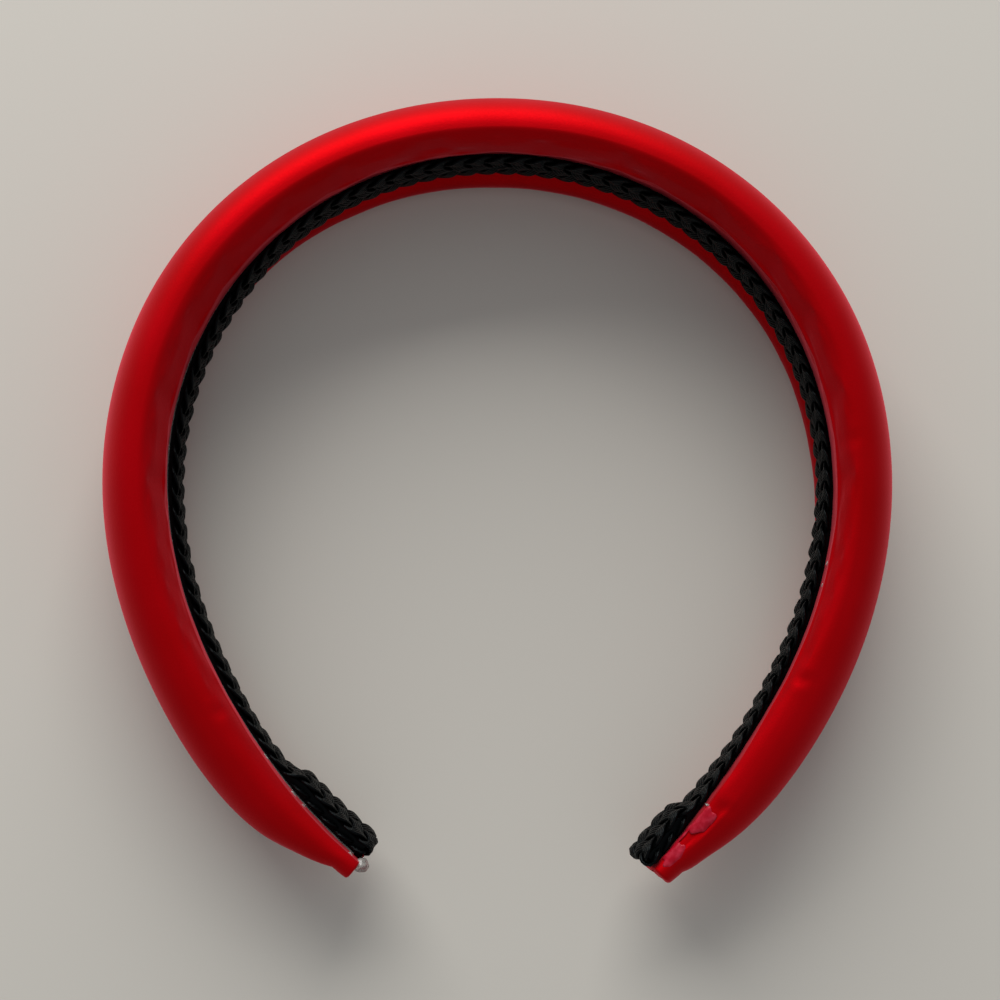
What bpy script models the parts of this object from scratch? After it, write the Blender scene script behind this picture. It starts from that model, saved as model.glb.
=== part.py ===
"""Padded satin headband, lying on its side: crown towards +Y, open tips towards -Y.

A springy plastic core is bent into an open ring. A foam pad sits on the core's outer
face, a satin cover is wrapped around both and glued down on the inner face, and a
black braid is glued over the cover's raw edges.

Every layer follows one path: the plan of the cover's inner face. A place on the band
is given by s, the distance along that path from the crown's centre (left arm
negative, right arm positive), by u, the distance outward from the inner face, and by
v, the distance up across the band's width.

The core bends all along its length. Here it bends at two upright hinges, so each
layer is made in three lengths: the crown, the left arm and the right arm.
"""
import math

import bmesh
import bpy
import numpy as np
from mathutils import Matrix, Vector

MM = 0.001
COLLECTION_NAME = "headband"

# Path: bend radius of the cover's inner face at some distances from the crown's centre
COVER_END = 189.5 * MM
RADIUS_AT = np.array([0, 35, 70, 105, 140, 165, 190]) * MM
RADIUS_RIGHT = np.array([72, 63, 65, 70.5, 95, 200, 1000]) * MM
RADIUS_LEFT = np.array([72, 64, 63.5, 69, 105, 120, 116]) * MM
PATH_STEP = 0.5 * MM

# Band width, across the inner face
CROWN_WIDTH = 35.5 * MM
TIP_WIDTH = 13 * MM
WIDTH_POWER = 2.4

# Thickness of the padded band, from the braid's bed to the outermost point
PAD_CROWN = 10.9 * MM
PAD_RIGHT = 12.1 * MM
PAD_LEFT = 12.7 * MM
PAD_FULL_AT = 80 * MM
NOSE_THICKNESS = 4.8 * MM
TAPER_START = 135 * MM
TAPER_END = 186 * MM
TAPER_POWER = 4.5

# Section shape: a superellipse dome outside, and a soft roll inside, above and below the braid
WIDEST_AT = 0.4
DOME_POWER = 2.3
ROLL_POWER = 2.5
ROLL_CREST = 0.35
BED_MARGIN = 0.9 * MM
CREASE_TO_EDGE = 2.2 * MM

# How far the rolls stand proud of the braid's bed, where there is room for them
ROLL_CROWN = 1.8 * MM
ROLL_ARM = 1.2 * MM
ROLL_ROOM_NONE = 2 * MM
ROLL_ROOM_FULL = 7 * MM

# Lean of the section: the inner face looks up a little at the crown, and more at the tips
LEAN_CROWN = math.radians(3)
LEAN_RIGHT = math.radians(0.5)
LEAN_LEFT = math.radians(3.5)
ARM_SHAPE_AT = 110 * MM
TIP_TWIST = math.radians(10)
TWIST_START = 150 * MM

# Rest: the pad's edge lies on the ground and flattens there
BAND_SLOPE = 0.03
FLATTENING = 0.3 * MM

# Layers between the cover and the core
GAP = 0.3 * MM
SATIN = 0.5 * MM
CORE_INNER_FACE = 1.2 * MM
CORE_THICKNESS = 1.3 * MM
CORE_CROWN_WIDTH = 15 * MM
CORE_TIP_WIDTH = 8.6 * MM
FOAM_END = 184 * MM
CORE_END = 187.5 * MM
CORE_EDGE = 0.35 * MM
HEM_EDGE = 3.5 * MM
END_TUCK = 1.2 * MM

# Braid on the inner face, with its last stretch folded back under itself
BRAID_WIDTH = 11.5 * MM
BRAID_THICKNESS = 1.3 * MM
BRAID_EDGE = 0.5 * MM
BRAID_DROP_LEFT = 2.2 * MM
BRAID_DROP_RIGHT = -0.3 * MM
BRAID_DROP_FULL = 100 * MM
FOLD_START_LEFT = 167 * MM
FOLD_START_RIGHT = 175 * MM
FOLD_RAMP = 5 * MM
FOLD_END = 188.5 * MM
GLUE_WIDTH = 6.0 * MM

# Hinges
HINGE_AT = 52 * MM
OPENING_LIMIT = math.radians(16)
CLOSING_LIMIT = math.radians(10)
LIMIT_MARGIN = math.radians(2)

# Facets
BAND_STEP = 8.2 * MM
TIP_STEP = 3.5 * MM
TIP_STRETCH = 26 * MM
OUTLINE_ANGLES = (12, 38, 62, 81, 99, 122, 148, 180)


def bend_radii(side):
    return RADIUS_RIGHT if side > 0 else RADIUS_LEFT


def walk_path(side):
    """Distances, plan points and headings from the crown's centre to one tip."""
    distances = np.arange(0, COVER_END + 2 * PATH_STEP, PATH_STEP)
    curvature = np.interp(distances, RADIUS_AT, 1 / bend_radii(side))
    turned = np.cumsum((curvature[1:] + curvature[:-1]) / 2) * PATH_STEP
    heading = np.concatenate([[0], turned])
    forward = np.stack([side * np.cos(heading), -np.sin(heading)], axis=1)
    steps = (forward[1:] + forward[:-1]) / 2 * PATH_STEP
    points = np.concatenate([np.zeros((1, 2)), np.cumsum(steps, axis=0)])
    return distances, points, -side * heading


def join_sides():
    """The whole path, from the left tip to the right tip."""
    left_s, left_points, left_heading = walk_path(-1)
    right_s, right_points, right_heading = walk_path(1)
    s = np.concatenate([-left_s[:0:-1], right_s])
    points = np.concatenate([left_points[:0:-1], right_points])
    heading = np.concatenate([left_heading[:0:-1], right_heading])
    return s, points, heading


PATH_S, PATH_POINTS, PATH_HEADING = join_sides()


def smooth(x):
    x = min(max(x, 0.0), 1.0)
    return x * x * (3 - 2 * x)


def plan_frame(s):
    """Plan point, direction along the band and outward direction."""
    heading = float(np.interp(s, PATH_S, PATH_HEADING))
    point = Vector((np.interp(s, PATH_S, PATH_POINTS[:, 0]), np.interp(s, PATH_S, PATH_POINTS[:, 1]), 0))
    along = Vector((math.cos(heading), math.sin(heading), 0))
    outward = Vector((-math.sin(heading), math.cos(heading), 0))
    return point, along, outward


def band_width(s):
    return TIP_WIDTH + (CROWN_WIDTH - TIP_WIDTH) * (1 - min(abs(s) / COVER_END, 1) ** WIDTH_POWER)


def pad_thickness(s):
    arm = PAD_RIGHT if s > 0 else PAD_LEFT
    full = PAD_CROWN + (arm - PAD_CROWN) * smooth(abs(s) / PAD_FULL_AT)
    taper = min(max((abs(s) - TAPER_START) / (TAPER_END - TAPER_START), 0), 1)
    return NOSE_THICKNESS + (full - NOSE_THICKNESS) * (1 - taper ** TAPER_POWER)


def lean(s):
    arm = LEAN_RIGHT if s > 0 else LEAN_LEFT
    tip = TIP_TWIST * smooth((abs(s) - TWIST_START) / (COVER_END - TWIST_START))
    return LEAN_CROWN + (arm - LEAN_CROWN) * smooth(abs(s) / ARM_SHAPE_AT) + tip


def braid_drop(s):
    drop = BRAID_DROP_RIGHT if s > 0 else BRAID_DROP_LEFT
    return drop * smooth(abs(s) / BRAID_DROP_FULL)


def place(s, u, v, lowest=0.0, shift=0.0):
    """World point of (s, u, v). lowest keeps a layer off the ground; shift slides it along the band."""
    point, along, outward = plan_frame(s)
    turn = lean(s)
    radial = u * math.cos(turn) + v * math.sin(turn)
    height = v * math.cos(turn) - u * math.sin(turn)
    place_in_plan = point + outward * radial + along * shift - PLAN_CENTRE
    centre_height = CROWN_WIDTH / 2 - FLATTENING + BAND_SLOPE * (place_in_plan.y - CROWN_Y)
    return Vector((place_in_plan.x, place_in_plan.y, max(height + centre_height, lowest)))


def crease_height(s, above):
    """Distance from the band's middle to the crease beside the braid, above or below it."""
    beside_braid = BRAID_WIDTH / 2 + BED_MARGIN - math.copysign(braid_drop(s), above)
    return min(beside_braid, band_width(s) / 2 - CREASE_TO_EDGE)


def roll_rise(s):
    """How far the rolls stand proud of the bed: nothing near the tips, where the braid fills the face."""
    arm_share = smooth(abs(s) / ARM_SHAPE_AT)
    room = band_width(s) / 2 - BRAID_WIDTH / 2 - BED_MARGIN - abs(braid_drop(s))
    room_share = smooth((room - ROLL_ROOM_NONE) / (ROLL_ROOM_FULL - ROLL_ROOM_NONE))
    return (ROLL_CROWN + (ROLL_ARM - ROLL_CROWN) * arm_share) * room_share


def section_point(s, angle, inset=0.0):
    """(u, v) on the band's outline, inset from the cover's outer surface.

    Angle 0 is outermost, 90 is the upper edge, and 180 is the crest of the upper inner roll.
    Negative angles are the lower half.
    """
    half_width = band_width(s) / 2 - inset
    inner_u = inset - roll_rise(s)
    thickness = pad_thickness(s) - inset - inner_u
    cosine = math.cos(math.radians(angle))
    sine = abs(math.sin(math.radians(angle)))
    if cosine > 0:
        u = inner_u + thickness * (WIDEST_AT + (1 - WIDEST_AT) * cosine ** (2 / DOME_POWER))
        v = half_width * sine ** (2 / DOME_POWER)
    else:
        crease = crease_height(s, angle)
        crest = crease + ROLL_CREST * (half_width - crease)
        u = inner_u + thickness * WIDEST_AT * (1 - (-cosine) ** (2 / ROLL_POWER))
        v = crest + (half_width - crest) * sine ** (2 / ROLL_POWER)
    return u, math.copysign(v, angle)


def centre_of_plan():
    """Middle of the band's outer edge, in plan."""
    edge = []
    for s in np.linspace(-COVER_END, COVER_END, 400):
        point, _, outward = plan_frame(s)
        edge.append(point + outward * pad_thickness(s))
    low = Vector((min(p.x for p in edge), min(p.y for p in edge), 0))
    high = Vector((max(p.x for p in edge), max(p.y for p in edge), 0))
    return (low + high) / 2


PLAN_CENTRE = centre_of_plan()
CROWN_Y = -PLAN_CENTRE.y + WIDEST_AT * pad_thickness(0)
HINGE_U = CORE_INNER_FACE + CORE_THICKNESS / 2


def hinge_point(side):
    return place(side * HINGE_AT, HINGE_U, 0)


def hinge_clearance(u):
    """How far a layer stops short of the hinge's plane, so that the arm can swing."""
    if u > HINGE_U:
        wedge = (u - HINGE_U) * math.tan((OPENING_LIMIT + LIMIT_MARGIN) / 2)
    else:
        wedge = (HINGE_U - u) * math.tan((CLOSING_LIMIT + LIMIT_MARGIN) / 2)
    return GAP + wedge


def even_steps(start, end, step):
    count = max(int(math.ceil(abs(end - start) / step)), 1)
    return list(np.linspace(start, end, count + 1))


def crown_stations():
    count = 2 * int(HINGE_AT / BAND_STEP) + 1
    return list(np.linspace(-HINGE_AT, HINGE_AT, count + 1))


def arm_stations(side, end):
    """Stations from the hinge to a layer's end, closer together near the tip."""
    tip_start = COVER_END - TIP_STRETCH
    distances = even_steps(HINGE_AT, tip_start, BAND_STEP) + even_steps(tip_start, end, TIP_STEP)[1:]
    stations = [side * distance for distance in distances]
    return stations if side > 0 else stations[::-1]


def cover_outline(s):
    lower = [section_point(s, -angle) for angle in OUTLINE_ANGLES[::-1]]
    upper = [section_point(s, angle) for angle in OUTLINE_ANGLES]
    lower_bed = [(0.0, -HEM_EDGE), (0.0, -crease_height(s, -1))]
    upper_bed = [(0.0, crease_height(s, 1)), (0.0, HEM_EDGE)]
    return lower_bed + lower + upper + upper_bed


def foam_outline(s):
    """The pad's D section, with a channel for the core in its inner side."""
    inset = SATIN + GAP
    channel_depth = CORE_INNER_FACE + CORE_THICKNESS + GAP
    channel_half = core_width(s) / 2 + GAP
    channel_lip = inset + CORE_EDGE / 2
    outline = []
    for side in (-1, 1):
        half = [section_point(s, side * angle, inset) for angle in OUTLINE_ANGLES]
        bed_edge = max(crease_height(s, side), channel_half + GAP / 2)
        half += [(inset, side * bed_edge), (channel_lip, side * channel_half), (channel_depth, side * channel_half)]
        outline += half[::-1] if side < 0 else half
    return outline


def core_width(s):
    """The core narrows with the band and has rounded ends."""
    share = (band_width(s) - TIP_WIDTH) / (CROWN_WIDTH - TIP_WIDTH)
    width = CORE_TIP_WIDTH + (CORE_CROWN_WIDTH - CORE_TIP_WIDTH) * share
    to_end = (CORE_END - abs(s)) / (CORE_TIP_WIDTH / 2)
    rounding = math.sqrt(1 - (1 - min(to_end, 1)) ** 2)
    return width * max(rounding, 0.45)


def plate_outline(inner_u, thickness, width, edge, centre_v=0.0):
    """A flat strip's section, with its four edges bevelled."""
    outer_u = inner_u + thickness
    half = width / 2
    corners = [
        (inner_u, half - edge), (inner_u + edge, half), (outer_u - edge, half), (outer_u, half - edge),
        (outer_u, edge - half), (outer_u - edge, -half), (inner_u + edge, -half), (inner_u, edge - half),
    ]
    return [(u, v + centre_v) for u, v in corners[::-1]]


def core_outline(s):
    return plate_outline(CORE_INNER_FACE, CORE_THICKNESS, core_width(s), CORE_EDGE)


def glue_outline(s):
    outer_u = CORE_INNER_FACE - GAP
    half = GLUE_WIDTH / 2
    return [(0.0, -half), (outer_u, -half), (outer_u, half), (0.0, half)]


def fold_start(s):
    return FOLD_START_RIGHT if s > 0 else FOLD_START_LEFT


def braid_outline(s):
    """The braid rises off the cover where its folded end lies under it."""
    lift = (BRAID_THICKNESS + GAP) * smooth((abs(s) - fold_start(s)) / FOLD_RAMP + 1)
    inner_u = -GAP - BRAID_THICKNESS - lift
    return plate_outline(inner_u, BRAID_THICKNESS, BRAID_WIDTH, BRAID_EDGE, -braid_drop(s))


def fold_outline(s):
    return plate_outline(-GAP - BRAID_THICKNESS, BRAID_THICKNESS, BRAID_WIDTH, BRAID_EDGE, -braid_drop(s))


def ring_points(stations, outline, lowest, hinged_ends):
    """World points of a layer's sections. hinged_ends says which ends stop short of a hinge."""
    rings = []
    for index, s in enumerate(stations):
        ring = []
        for u, v in outline(s):
            shift = 0.0
            if index == 0 and hinged_ends[0]:
                shift = hinge_clearance(u)
            if index == len(stations) - 1 and hinged_ends[1]:
                shift = -hinge_clearance(u)
            ring.append(place(s, u, v, lowest, shift))
        rings.append(ring)
    return rings


def loft_mesh(name, rings, closed=True):
    """Skin between sections with equal point counts; a closed skin gets a cap at each end."""
    bm = bmesh.new()
    loops = [[bm.verts.new(point) for point in ring] for ring in rings]
    count = len(rings[0])
    sides = count if closed else count - 1
    for near, far in zip(loops, loops[1:]):
        for i in range(sides):
            j = (i + 1) % count
            bm.faces.new((near[i], near[j], far[j], far[i]))
    if closed:
        bm.faces.new(loops[0][::-1])
        bm.faces.new(loops[-1])
    mesh = bpy.data.meshes.new(name)
    bm.to_mesh(mesh)
    bm.free()
    return mesh


def make_material(name, color, roughness, metallic=0.0):
    material = bpy.data.materials.new(name)
    material.use_nodes = True
    shader = material.node_tree.nodes["Principled BSDF"]
    shader.inputs["Base Color"].default_value = (*color, 1.0)
    shader.inputs["Roughness"].default_value = roughness
    shader.inputs["Metallic"].default_value = metallic
    material.diffuse_color = (*color, 1.0)
    return material


def add_object(name, mesh, material, collection, pivot=None):
    """Put a mesh made in world points into the scene; on an arm, its origin is the hinge."""
    if pivot is not None:
        mesh.transform(Matrix.Translation(-pivot.location))
    mesh.materials.append(material)
    mesh.shade_smooth()
    mesh.set_sharp_from_angle(angle=math.radians(35))
    obj = bpy.data.objects.new(name, mesh)
    collection.objects.link(obj)
    obj.parent = pivot
    return obj


def add_layer(name, outline, end, material, collection, pivots, lowest=0.0, closed=True):
    """One layer of the band in its three lengths."""
    lengths = [
        ("crown", crown_stations(), (True, True)),
        ("left", arm_stations(-1, end), (False, True)),
        ("right", arm_stations(1, end), (True, False)),
    ]
    made = []
    for length_name, stations, hinged_ends in lengths:
        rings = ring_points(stations, outline, lowest, hinged_ends)
        full_name = f"{name}_{length_name}"
        mesh = loft_mesh(full_name, rings, closed)
        made.append(add_object(full_name, mesh, material, collection, pivots.get(length_name)))
    return made


def add_cover(material, collection, pivots):
    """The satin is a single skin, open along the inner face between its two raw edges."""
    end = COVER_END - END_TUCK - GAP
    skins = add_layer("satin_cover", cover_outline, end, material, collection, pivots, closed=False)
    for skin in skins:
        thickness = skin.modifiers.new("satin_thickness", "SOLIDIFY")
        thickness.thickness = SATIN
        thickness.offset = -1


def add_end_tuck(side, label, material, collection, pivot):
    """The cover's end, folded in over the core's tip."""
    angles = [-angle for angle in OUTLINE_ANGLES[::-1]] + list(OUTLINE_ANGLES)
    start = COVER_END - END_TUCK
    rounding = END_TUCK / 3
    rings = []
    for distance, inset in ((start, 0.0), (COVER_END - rounding, 0.0), (COVER_END, rounding)):
        s = side * distance
        rings.append([place(s, *section_point(s, angle, inset)) for angle in angles])
    if side < 0:
        rings.reverse()
    add_object(f"end_tuck_{label}", loft_mesh(f"end_tuck_{label}", rings), material, collection, pivot)


def add_braid_fold(side, label, material, collection, pivot):
    start = FOLD_START_RIGHT if side > 0 else FOLD_START_LEFT
    stations = [side * distance for distance in even_steps(start, FOLD_END, TIP_STEP)]
    if side < 0:
        stations.reverse()
    rings = ring_points(stations, fold_outline, 0.0, (False, False))
    add_object(f"braid_fold_{label}", loft_mesh(f"braid_fold_{label}", rings), material, collection, pivot)


def add_glue_bead(label, centre, radii, axes, material, collection, pivot):
    """A hardened drop of clear glue: a sphere drawn out along the given axes."""
    bm = bmesh.new()
    bmesh.ops.create_uvsphere(bm, u_segments=16, v_segments=8, radius=1)
    turn = Matrix(axes).transposed().to_4x4()
    scale = Matrix.Diagonal((*radii, 1))
    bm.transform(Matrix.Translation(centre) @ turn @ scale)
    mesh = bpy.data.meshes.new(f"tip_glue_{label}")
    bm.to_mesh(mesh)
    bm.free()
    add_object(f"tip_glue_{label}", mesh, material, collection, pivot)


def add_tip_glue(material, collection, pivots):
    """Left: a drop standing past the tip. Right: a flat smear on the cover's upper edge."""
    drop_radii = (1.0 * MM, 1.4 * MM, 1.8 * MM)
    _, along, outward = plan_frame(-COVER_END)
    upward = Vector((0, 0, 1))
    drop_centre = place(-COVER_END, 1.2 * MM, 3.0 * MM, shift=-(drop_radii[0] + GAP))
    add_glue_bead("left", drop_centre, drop_radii, (along, outward, upward), material, collection,
                  pivots["left"])
    smear_radii = (3.6 * MM, 1.6 * MM, 0.5 * MM)
    smear_s = 179 * MM
    smear_angle = 100
    _, along, outward = plan_frame(smear_s)
    smear_centre = place(smear_s, *section_point(smear_s, smear_angle, -(smear_radii[2] + GAP)))
    add_glue_bead("right", smear_centre, smear_radii, (along, outward, upward), material, collection,
                  pivots["right"])


def add_hinge(side, label, collection):
    pivot = bpy.data.objects.new(f"{label}_hinge", None)
    pivot.empty_display_type = "SINGLE_ARROW"
    pivot.empty_display_size = 40 * MM
    pivot.location = hinge_point(side)
    collection.objects.link(pivot)
    return pivot


def clear_scene():
    for obj in list(bpy.data.objects):
        bpy.data.objects.remove(obj, do_unlink=True)


def main():
    clear_scene()
    collection = bpy.data.collections.new(COLLECTION_NAME)
    bpy.context.scene.collection.children.link(collection)
    pivots = {"left": add_hinge(-1, "left", collection), "right": add_hinge(1, "right", collection)}

    satin = make_material("satin", (0.60, 0.005, 0.03), 0.45)
    foam = make_material("foam", (0.85, 0.82, 0.74), 0.9)
    plastic = make_material("core_plastic", (0.85, 0.85, 0.83), 0.4)
    braid = make_material("braid", (0.012, 0.013, 0.016), 0.55)
    glue = make_material("glue", (0.85, 0.83, 0.78), 0.2)

    add_layer("core", core_outline, CORE_END, plastic, collection, pivots)
    add_layer("foam", foam_outline, FOAM_END, foam, collection, pivots, lowest=SATIN + GAP)
    add_cover(satin, collection, pivots)
    add_layer("glue_bed", glue_outline, CORE_END, glue, collection, pivots)
    add_layer("braid", braid_outline, COVER_END, braid, collection, pivots)
    for side, label in ((-1, "left"), (1, "right")):
        add_end_tuck(side, label, satin, collection, pivots[label])
        add_braid_fold(side, label, braid, collection, pivots[label])
    add_tip_glue(glue, collection, pivots)
    bpy.context.view_layer.update()


main()
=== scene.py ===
"""Looks of the padded satin headband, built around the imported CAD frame.

A place on the band is (s, u, v): s runs along the plan of the cover's inner face from
the crown's centre (left arm negative), u runs outward from that face, and v runs up
across the band's width. Each layer is made in two pieces that meet at the crown's
centre, because each arm bends away from the crown at its own joint.
"""
import math

import bmesh
import bpy
import numpy as np
from mathutils import Matrix, Vector, noise


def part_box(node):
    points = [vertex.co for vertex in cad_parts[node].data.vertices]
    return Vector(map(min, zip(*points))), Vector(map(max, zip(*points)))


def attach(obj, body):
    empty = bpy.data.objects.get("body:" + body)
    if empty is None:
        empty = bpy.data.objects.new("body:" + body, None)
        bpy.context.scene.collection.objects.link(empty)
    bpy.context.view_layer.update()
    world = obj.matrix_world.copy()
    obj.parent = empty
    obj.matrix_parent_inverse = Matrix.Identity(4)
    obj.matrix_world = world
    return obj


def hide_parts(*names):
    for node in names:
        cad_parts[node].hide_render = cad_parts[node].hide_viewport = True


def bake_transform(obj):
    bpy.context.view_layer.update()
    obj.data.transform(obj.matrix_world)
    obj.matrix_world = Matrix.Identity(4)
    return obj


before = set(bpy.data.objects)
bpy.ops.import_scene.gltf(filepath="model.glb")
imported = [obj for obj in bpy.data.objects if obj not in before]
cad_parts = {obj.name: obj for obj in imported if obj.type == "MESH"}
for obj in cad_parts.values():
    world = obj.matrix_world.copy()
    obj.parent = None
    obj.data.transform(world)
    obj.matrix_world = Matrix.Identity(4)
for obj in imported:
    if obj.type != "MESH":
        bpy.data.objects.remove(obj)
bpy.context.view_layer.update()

MM = 0.001

# Path and section of the band, as in the CAD
COVER_END = 189.5 * MM
RADIUS_AT = np.array([0, 35, 70, 105, 140, 165, 190]) * MM
RADIUS_RIGHT = np.array([72, 63, 65, 70.5, 95, 200, 1000]) * MM
RADIUS_LEFT = np.array([72, 64, 63.5, 69, 105, 120, 116]) * MM
PATH_STEP = 0.5 * MM
CROWN_WIDTH = 35.5 * MM
TIP_WIDTH = 13 * MM
WIDTH_POWER = 2.4
PAD_CROWN = 10.9 * MM
PAD_RIGHT = 12.1 * MM
PAD_LEFT = 12.7 * MM
PAD_FULL_AT = 80 * MM
NOSE_THICKNESS = 4.8 * MM
TAPER_START = 135 * MM
TAPER_END = 186 * MM
TAPER_POWER = 4.5
WIDEST_AT = 0.4
WIDEST_AT_CROWN = 0.27
DOME_POWER_CROWN = 2.2
DOME_POWER = 2.3
BED_MARGIN = 0.9 * MM
CREASE_TO_EDGE = 2.2 * MM
ROLL_CROWN = 1.8 * MM
ROLL_ARM = 1.2 * MM
ROLL_ROOM_NONE = 2 * MM
ROLL_ROOM_FULL = 7 * MM
LEAN_CROWN = math.radians(3)
LEAN_RIGHT = math.radians(0.5)
LEAN_LEFT = math.radians(3.5)
ARM_SHAPE_AT = 110 * MM
ARM_SECTION_AT = 75 * MM
TIP_TWIST = math.radians(10)
TWIST_START = 150 * MM
BAND_SLOPE = 0.03
FLATTENING = 0.3 * MM
HINGE_AT = 52 * MM

# Layers inside the cover
SATIN = 0.3 * MM
HEM_EDGE = 3.0 * MM
CORE_INNER_FACE = 1.2 * MM
CORE_THICKNESS = 1.3 * MM
CORE_CROWN_WIDTH = 15 * MM
CORE_TIP_WIDTH = 8.6 * MM
CORE_END = 187.5 * MM
CORE_BEVEL = 0.35 * MM
CORE_LEAST_ROUNDING = 0.3
FOAM_END = 184 * MM
FOAM_RIM_POINTS = 15
FOAM_EDGE_LIFT = 0.1 * MM
GLUE_HALF_WIDTH = 2.8 * MM
BED_SINK = 0.05 * MM
LAYER_GAP = 0.2 * MM
LAYER_STEP = 2.5 * MM

# Braid
BRAID_WIDTH = 11.5 * MM
BRAID_DROP_LEFT = 2.2 * MM
BRAID_DROP_RIGHT = -0.3 * MM
BRAID_DROP_FULL = 100 * MM
FOLD_START_LEFT = 171 * MM
FOLD_START_RIGHT = 179 * MM
FOLD_RAMP = 5 * MM
BRAID_END = 188.4 * MM
BRAID_LAYER = 2.05 * MM
BRAID_SWELL = 0.36
SWELL_START_LEFT = 45 * MM
SWELL_START_RIGHT = 98 * MM
SWELL_END = 142 * MM
SWELL_RAMP = 20 * MM
WEB_HALF_WIDTH = 4.3 * MM
WEB_BELOW_CORDS = 0.15 * MM
WEB_CORNER = 0.5 * MM
WEB_STEP = 1.5 * MM
EDGE_SCALLOP = 4.1 * MM
STRANDS = 4
CORDS_PER_STRAND = 4
CORD_RADIUS = 0.35 * MM
STRAND_LIFT = 0.45 * MM
CORD_SIDES = 6
CORD_STEP = 0.5 * MM
ZIGZAG_SHARPNESS = 0.93
RIBBON_STEP = 0.25 * MM
RIBBON_START = -4 * MM
FOLD_UNDER = 0.7


# ---------------------------------------------------------------- the band's path

def walk_path(side, radii):
    """Distances, plan points and headings from the crown's centre to one tip."""
    distances = np.arange(0, COVER_END + 12 * PATH_STEP, PATH_STEP)
    curvature = np.interp(distances, RADIUS_AT, 1 / radii)
    turned = np.cumsum((curvature[1:] + curvature[:-1]) / 2) * PATH_STEP
    heading = np.concatenate([[0], turned])
    forward = np.stack([side * np.cos(heading), -np.sin(heading)], axis=1)
    steps = (forward[1:] + forward[:-1]) / 2 * PATH_STEP
    points = np.concatenate([np.zeros((1, 2)), np.cumsum(steps, axis=0)])
    return distances, points, -side * heading


def join_sides():
    left_s, left_points, left_heading = walk_path(-1, RADIUS_LEFT)
    right_s, right_points, right_heading = walk_path(1, RADIUS_RIGHT)
    s = np.concatenate([-left_s[:0:-1], right_s])
    points = np.concatenate([left_points[:0:-1], right_points])
    heading = np.concatenate([left_heading[:0:-1], right_heading])
    return s, points, heading


PATH_S, PATH_POINTS, PATH_HEADING = join_sides()


def smooth(x):
    x = np.clip(x, 0.0, 1.0)
    return x * x * (3 - 2 * x)


def band_width(s):
    share = np.minimum(np.abs(s) / COVER_END, 1)
    return TIP_WIDTH + (CROWN_WIDTH - TIP_WIDTH) * (1 - share ** WIDTH_POWER)


def pad_thickness(s):
    arm = np.where(np.asarray(s) > 0, PAD_RIGHT, PAD_LEFT)
    full = PAD_CROWN + (arm - PAD_CROWN) * smooth(np.abs(s) / PAD_FULL_AT)
    taper = np.clip((np.abs(s) - TAPER_START) / (TAPER_END - TAPER_START), 0, 1)
    return NOSE_THICKNESS + (full - NOSE_THICKNESS) * (1 - taper ** TAPER_POWER)


def lean(s):
    arm = np.where(np.asarray(s) > 0, LEAN_RIGHT, LEAN_LEFT)
    tip = TIP_TWIST * smooth((np.abs(s) - TWIST_START) / (COVER_END - TWIST_START))
    return LEAN_CROWN + (arm - LEAN_CROWN) * smooth(np.abs(s) / ARM_SHAPE_AT) + tip


def braid_drop(s):
    full = np.where(np.asarray(s) > 0, BRAID_DROP_RIGHT, BRAID_DROP_LEFT)
    return full * smooth(np.abs(s) / BRAID_DROP_FULL)


def plan_frame(s):
    """Plan points and outward directions."""
    heading = np.interp(s, PATH_S, PATH_HEADING)
    x = np.interp(s, PATH_S, PATH_POINTS[:, 0])
    y = np.interp(s, PATH_S, PATH_POINTS[:, 1])
    return np.stack([x, y], axis=-1), np.stack([-np.sin(heading), np.cos(heading)], axis=-1)


def centre_of_plan():
    s = np.linspace(-COVER_END, COVER_END, 400)
    points, outward = plan_frame(s)
    edge = points + outward * pad_thickness(s)[:, None]
    return (edge.min(axis=0) + edge.max(axis=0)) / 2


PLAN_CENTRE = centre_of_plan()
CROWN_Y = -PLAN_CENTRE[1] + WIDEST_AT * pad_thickness(0.0)


def place(s, u, v, lowest=0.0):
    """World points of (s, u, v); none goes below lowest, where the pad lies on the ground."""
    s, u, v = np.broadcast_arrays(np.asarray(s, float), np.asarray(u, float), np.asarray(v, float))
    points, outward = plan_frame(s)
    turn = lean(s)
    radial = u * np.cos(turn) + v * np.sin(turn)
    height = v * np.cos(turn) - u * np.sin(turn)
    plan = points + outward * radial[..., None] - PLAN_CENTRE
    height = height + CROWN_WIDTH / 2 - FLATTENING + BAND_SLOPE * (plan[..., 1] - CROWN_Y)
    return np.concatenate([plan, np.maximum(height, lowest)[..., None]], axis=-1)


# ---------------------------------------------------------------- meshes

def new_object(name, mesh, material):
    mesh.materials.append(material)
    obj = bpy.data.objects.new(name, mesh)
    bpy.context.scene.collection.objects.link(obj)
    return obj


def mesh_from(name, points, faces, smooth_faces=True):
    mesh = bpy.data.meshes.new(name)
    mesh.from_pydata(points.reshape(-1, 3).tolist(), [], faces)
    mesh.validate()
    if smooth_faces:
        mesh.shade_smooth()
    return mesh


def grid_faces(rows, columns, wrap):
    """Quads over a grid of points; wrap joins the last column to the first."""
    faces = []
    last = columns if wrap else columns - 1
    for i in range(rows - 1):
        for j in range(last):
            k = (j + 1) % columns
            faces.append((i * columns + j, i * columns + k, (i + 1) * columns + k, (i + 1) * columns + j))
    return faces


def set_uv(mesh, coordinates):
    """A UV layer from one coordinate pair for each vertex."""
    layer = mesh.uv_layers.new(name="along_across")
    corner_vertices = np.empty(len(mesh.loops), np.int32)
    mesh.loops.foreach_get("vertex_index", corner_vertices)
    layer.data.foreach_set("uv", coordinates[corner_vertices].astype(np.float32).ravel())


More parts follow.
